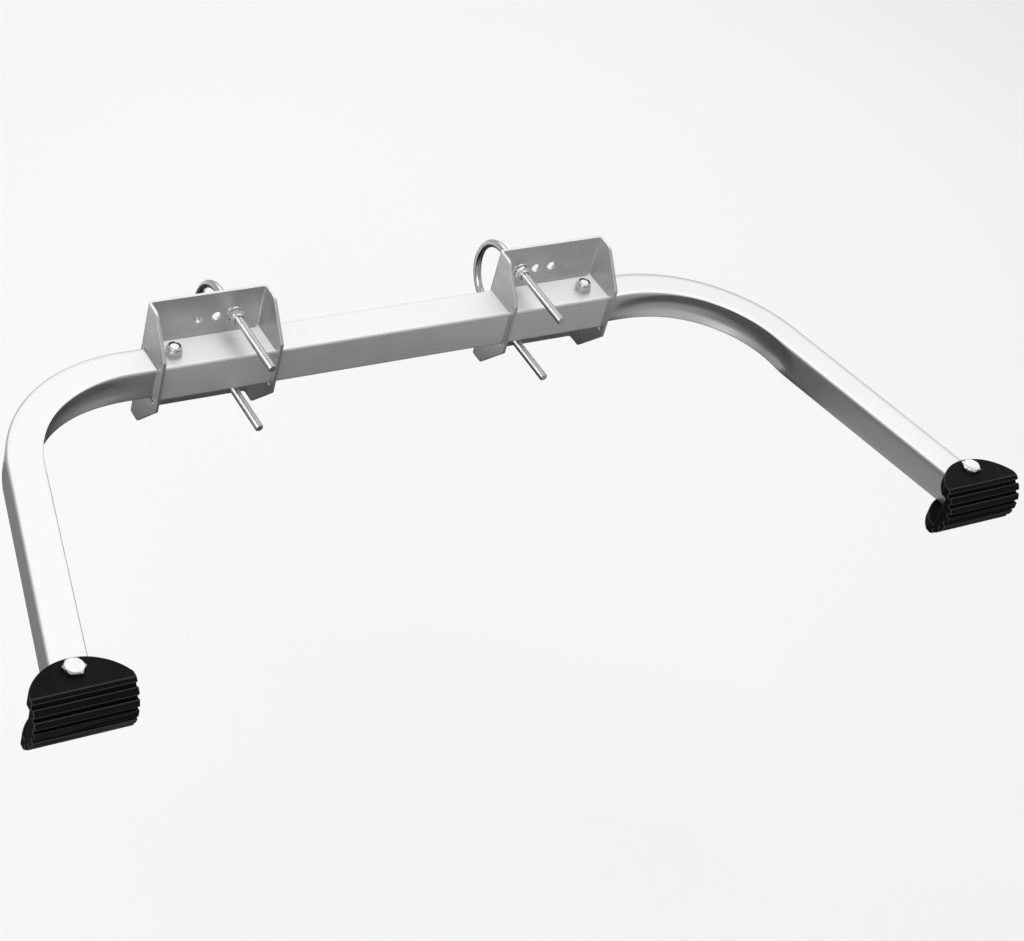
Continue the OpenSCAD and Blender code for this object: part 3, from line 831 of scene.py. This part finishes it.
# Eased edges: 0.7 mm on the moulded feet and 0.3 mm on the pressed sheet.
footEase = {"width": 0.0007, "steps": 3}
bracketEase = {"width": 0.0003, "steps": 2}
flatAngle = math.radians(0.3)  # triangles that turn less than this are one flat face


def easedCopy(name, node, ease, slot, finish):  # each node rides on the body of its own name
    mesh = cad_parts[node].data.copy()
    work = bmesh.new()
    work.from_mesh(mesh)
    bmesh.ops.remove_doubles(work, verts=work.verts, dist=mergeReach)
    bmesh.ops.dissolve_limit(work, angle_limit=flatAngle, verts=work.verts, edges=work.edges)
    weight = work.edges.layers.float.new("bevel_weight_edge")
    for edge in work.edges:  # only outer edges are eased
        sharp = edge.is_convex and edge.calc_face_angle() > math.radians(creaseAngle["eased"])
        edge[weight] = float(sharp)
    work.to_mesh(mesh)
    work.free()
    mesh.materials.clear()
    for i in range(2):  # the second slot marks the rounded edges
        mesh.materials.append(finish)
    mesh.polygons.foreach_set("material_index", [0] * len(mesh.polygons))
    blank = addObject(name + "Blank", shadeRound(mesh, "eased"))
    bevel = blank.modifiers.new("ease", "BEVEL")
    bevel.width = ease["width"]
    bevel.segments = ease["steps"]
    bevel.limit_method = "WEIGHT"
    bevel.use_clamp_overlap = False
    bevel.harden_normals = True
    bevel.material = 1
    eased = plainCopy(blank)
    # the bevel's faces are marked as the mask for the painted highlight on the edges
    rubbed = eased.attributes.new("rubbed", "FLOAT", "FACE")
    rubbed.data.foreach_set("value", [float(face.material_index) for face in eased.polygons])
    return newPiece(name, eased, finish, node, slot, node)


for side, sign in sides:
    foot, bracket = side + "_foot", side + "_bracket"
    easedCopy(side + "RubberFoot", foot, footEase, "foot_rubber", rubberMaterial)
    sheet = easedCopy(side + "FoldedBracket", bracket, bracketEase, "bracket_steel", bracketMaterial)
    sheet.visible_glossy = False  # the photograph's tube stays bright right up to the plates
print("edges eased")

# Studio: a pale floor well below the part, a big soft box above and behind it, a fill on the camera's
# side, and cards below that only reflections see. They keep the front faces grey and the grooves dark.
studio = {
    "floorDrop": 0.55,
    "floorSize": 16.0,
    "floorColour": "#f4f4f4",
    "dullness": {"Roughness": 0.9, "Specular IOR Level": 0.2},
    "boxSize": 3.2,
    "boxPower": 36.0,
    "boxPlace": (0.75, 0.95, 2.05),
    "fillSize": 1.6,
    "fillPower": 34.0,
    "fillPlace": (-2.2, -1.7, 1.1),
    "skyColour": "#ffffff",
    "skyStrength": 0.62,
    "cardDrop": 0.15,
}
cards = {  # two corners and a colour
    "frontCard": ((-0.3, -0.55), (0.2, -0.1), "#606060"),
    "legCard": ((0.2, -0.55), (1.3, -0.16), "#a2a2a2"),
    "grooveCard": ((0.2, -0.16), (0.75, -0.1), "#121212"),
    "underCard": ((-0.4, -0.1), (0.75, 0.07), "#121212"),
    "rightPlateCard": ((0.02, 0.07), (0.24, 0.3), "#383838"),
    "leftPlateCard": ((-0.33, 0.07), (-0.16, 0.3), "#383838"),
    "sideCard": ((-0.8, -0.45), (-0.4, 0.2), "#808080"),
}


def flatPiece(name, low, high, drop, colour, finishName):
    mesh = bpy.data.meshes.new(name)
    mesh.from_pydata([(x, y, -drop) for x, y in (low, (high[0], low[1]), high, (low[0], high[1]))],
                     [], [(0, 1, 2, 3)])
    material, tree, shader = newMaterial(finishName)
    shader.inputs["Base Color"].default_value = fromHex(colour)
    for socket, value in studio["dullness"].items():
        shader.inputs[socket].default_value = value
    mesh.materials.append(material)
    return addObject(name, mesh)


def softBox(name, place, size, power):
    data = bpy.data.lights.new(name, "AREA")
    data.shape = "SQUARE"
    data.size = size
    data.energy = power
    lamp = addObject(name, data)
    lamp.location = place
    lamp.rotation_euler = (-Vector(place)).to_track_quat("-Z", "Y").to_euler()  # aimed at the origin


half = studio["floorSize"] / 2
floor = flatPiece("floor", (-half, -half), (half, half), studio["floorDrop"],
                  studio["floorColour"], "paleFloor")

for name, (low, high, colour) in cards.items():
    card = flatPiece(name, low, high, studio["cardDrop"], colour, name)
    card.visible_camera = False
    card.visible_shadow = False
    card.visible_diffuse = False

softBox("overheadBox", studio["boxPlace"], studio["boxSize"], studio["boxPower"])
softBox("sideFill", studio["fillPlace"], studio["fillSize"], studio["fillPower"])

world = bpy.data.worlds.new("studioSky")
world.use_nodes = True
bpy.context.scene.world = world
sky = world.node_tree.nodes["Background"]
sky.inputs["Color"].default_value = fromHex(studio["skyColour"])
sky.inputs["Strength"].default_value = studio["skyStrength"]

# The camera stands where the photograph was taken from, solved from the edges of the part.
cameraSpot = {
    "place": (-1.086759, -1.522518, 1.384373),
    "turn": (49.7018, -13.2246, -29.6910),
    "lens": 85.834,
    "sensor": 36.0,
    "farEnd": 50.0,
}
cameraData = bpy.data.cameras.new("photoCamera")
cameraData.lens = cameraSpot["lens"]
cameraData.sensor_width = cameraSpot["sensor"]
cameraData.clip_end = cameraSpot["farEnd"]
camera = addObject("photoCamera", cameraData)
camera.location = cameraSpot["place"]
camera.rotation_euler = [math.radians(a) for a in cameraSpot["turn"]]
bpy.context.scene.camera = camera
bpy.context.scene.view_settings.view_transform = "Standard"
print("studio and camera set")
